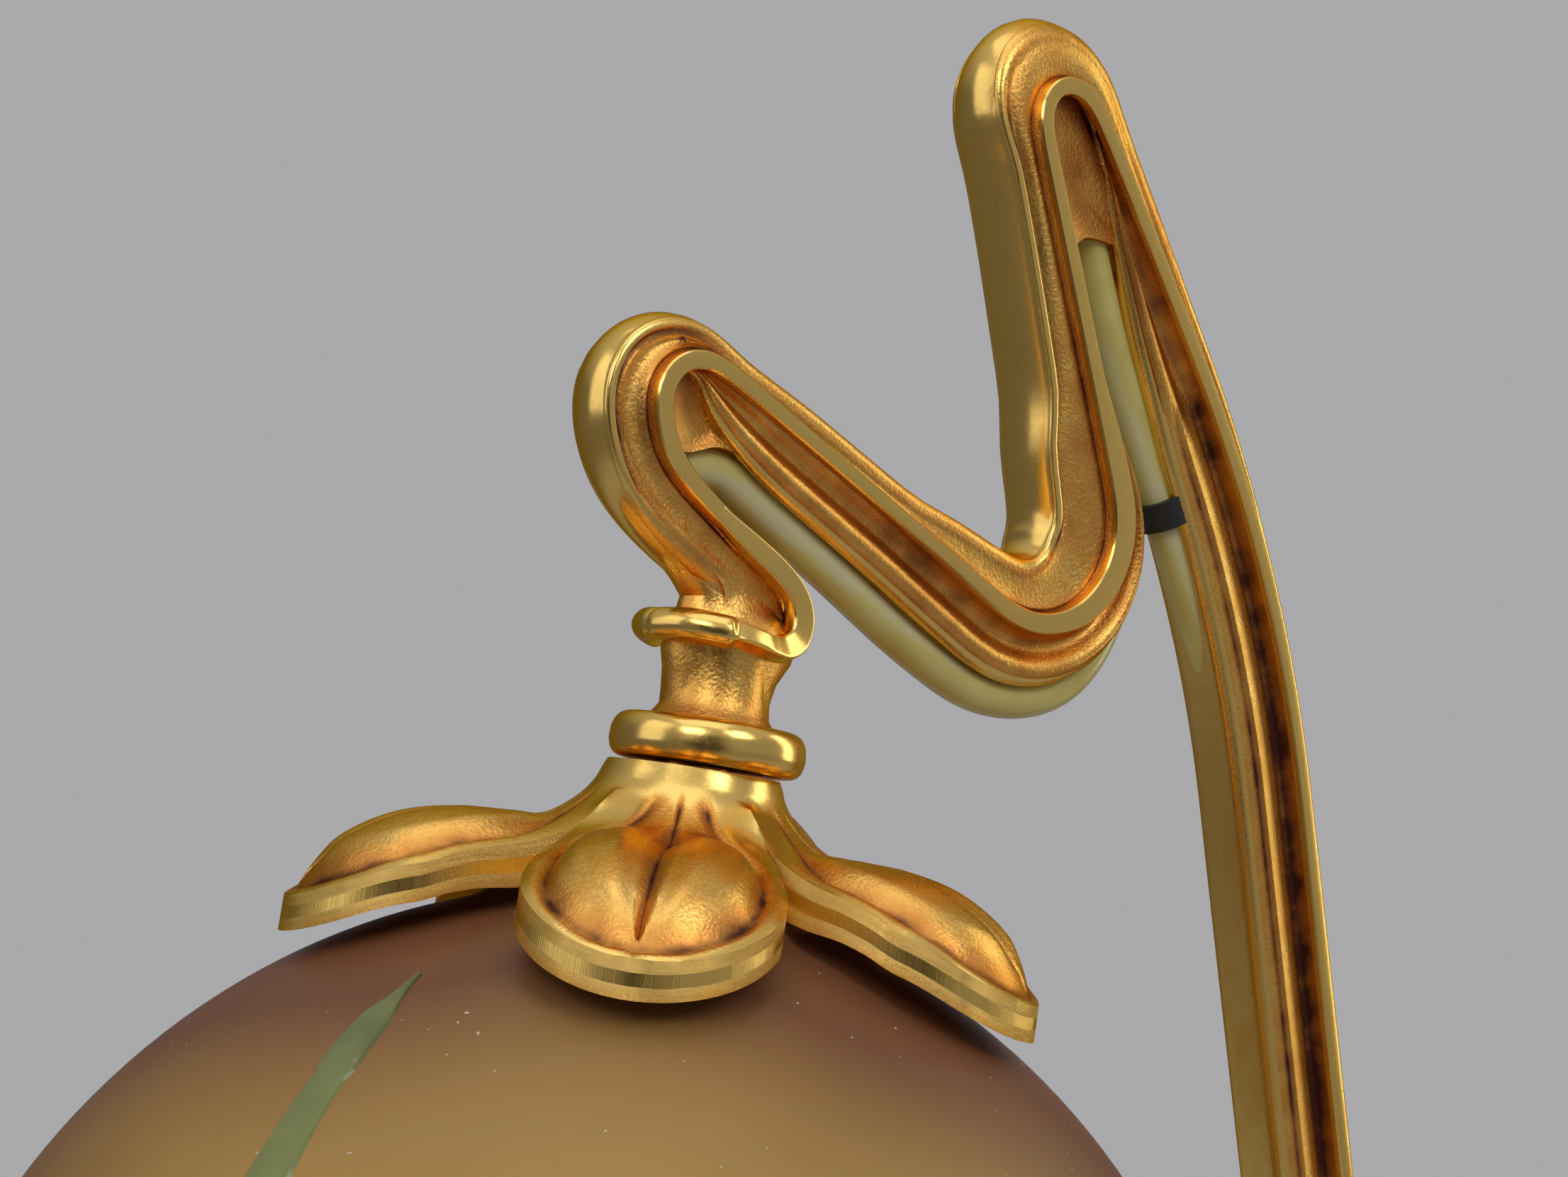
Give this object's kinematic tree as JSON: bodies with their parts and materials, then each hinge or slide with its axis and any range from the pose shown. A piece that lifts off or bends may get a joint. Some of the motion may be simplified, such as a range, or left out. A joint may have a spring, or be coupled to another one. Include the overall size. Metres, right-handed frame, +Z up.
{
  "type": "art nouveau table lamp",
  "caption": "Table lamp with a whiplash gilt-bronze stem, a petalled calyx and a hanging bud-shaped frosted glass shade that turns on its nipple.",
  "frame": {"origin": "centre of the felt under the foot, on the table", "axes": "+Z up, +X from the shade towards the stem, the arm lies in the XZ plane"},
  "size_m": [0.2267, 0.156, 0.4195],
  "materials": {
    "gilt_bronze": "gilt and patinated, polished edges, matte copper-brown grooves",
    "dark_bronze": "dark patina",
    "brass": "satin",
    "cork_pad": "pressed cork",
    "porcelain": "glazed white",
    "bakelite": "moulded, polished",
    "solder": "soldered",
    "bulb_cap_metal": "rolled thread",
    "bulb_glass": "clear",
    "filament": "drawn wire on a glass mount",
    "amber_glass": "satin frosted amber and rose with polished green strips",
    "clear_flex": "clear yellowed vinyl over stranded wire",
    "black_rubber": "matte",
    "steel_plate": "zinc plated",
    "green_felt": "wool felt",
    "iron_ballast": "as cast"
  },
  "bodies": {
    "stand": {"whip_stem": "gilt_bronze", "base_foot": "gilt_bronze", "neck_nipple": "brass", "carrier_nut": "brass", "holder_cap": "brass", "holder_shell": "brass", "holder_insulator": "porcelain", "centre_contact": "brass", "socket_sleeve": "brass", "bulb_tip": "solder", "bulb_cap": "bulb_cap_metal", "bulb_glass": "bulb_glass", "bulb_filament": "filament", "arm_flex": "clear_flex", "flex_grommet": "black_rubber", "base_cover": "steel_plate", "base_felt": "green_felt", "cover_screws": "steel_plate", "base_ballast": "iron_ballast", "terminal_block": "bakelite", "terminal_screws": "brass", "cord_outlet_bush": "brass", "stem_washer": "steel_plate", "stem_nut": "brass"},
    "shade": {"calyx": "gilt_bronze", "shade_carrier": "dark_bronze", "carrier_pad": "cork_pad", "shade_glass": "amber_glass"},
    "key": {"switch_key": "bakelite"}
  },
  "joints": [
    {"name": "shade_turn", "type": "hinge", "parent": "stand", "child": "shade", "pos_m": [-0.062, 0, 0.33], "axis": [0.1822, 0, 0.9833], "continuous": true},
    {"name": "switch_turn", "type": "hinge", "parent": "stand", "child": "key", "pos_m": [-0.07148, 0, 0.27887], "axis": [0, -1, 0], "range_deg": [0, 90]}
  ]
}
